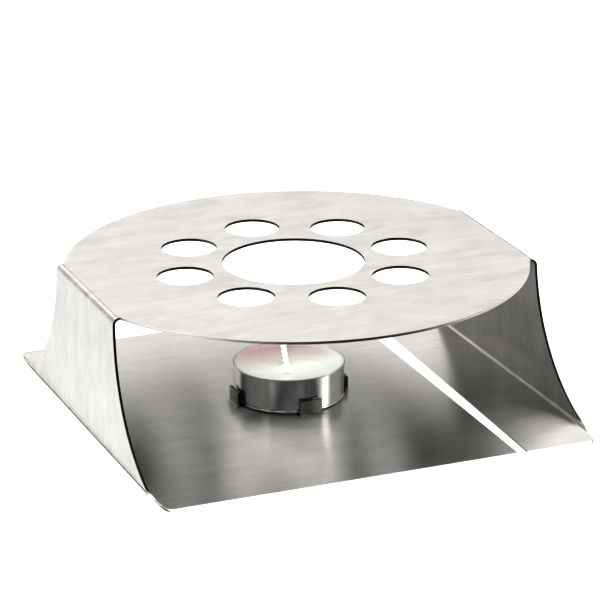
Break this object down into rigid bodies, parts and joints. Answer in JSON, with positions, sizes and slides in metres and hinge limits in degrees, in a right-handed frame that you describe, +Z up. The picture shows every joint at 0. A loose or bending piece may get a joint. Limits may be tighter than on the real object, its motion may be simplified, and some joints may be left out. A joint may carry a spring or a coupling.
{
  "type": "tealight food warmer",
  "caption": "Folded brushed-steel warmer stand: round pierced pot plate on flared walls over a flat base whose bent tabs hold a removable tealight.",
  "frame": {"origin": "bottom centre of the bounding box: on the table under the middle of the round plate", "axes": "+Z up, +X along the folded strip towards its short foot, +Y to the rear"},
  "size_m": [0.1568, 0.16, 0.05],
  "materials": {
    "brushed_stainless": "brushed along the strip, satin, with dark cut edges",
    "aluminium_foil": "bright drawn foil",
    "white_wax": "cast wax, soft sheen",
    "tinned_steel": "plain tinned sheet",
    "waxed_cotton": "braided cotton, waxed"
  },
  "bodies": {
    "stand": {"stand_sheet": "brushed_stainless"},
    "tealight": {"candle_cup": "aluminium_foil", "candle_wax": "white_wax", "wick_sustainer": "tinned_steel", "wick": "waxed_cotton"}
  },
  "joints": [
    {"name": "tealight_lift", "type": "slide", "parent": "stand", "child": "tealight", "axis": [0, 0, 1], "range_m": [0, 0.062]}
  ]
}
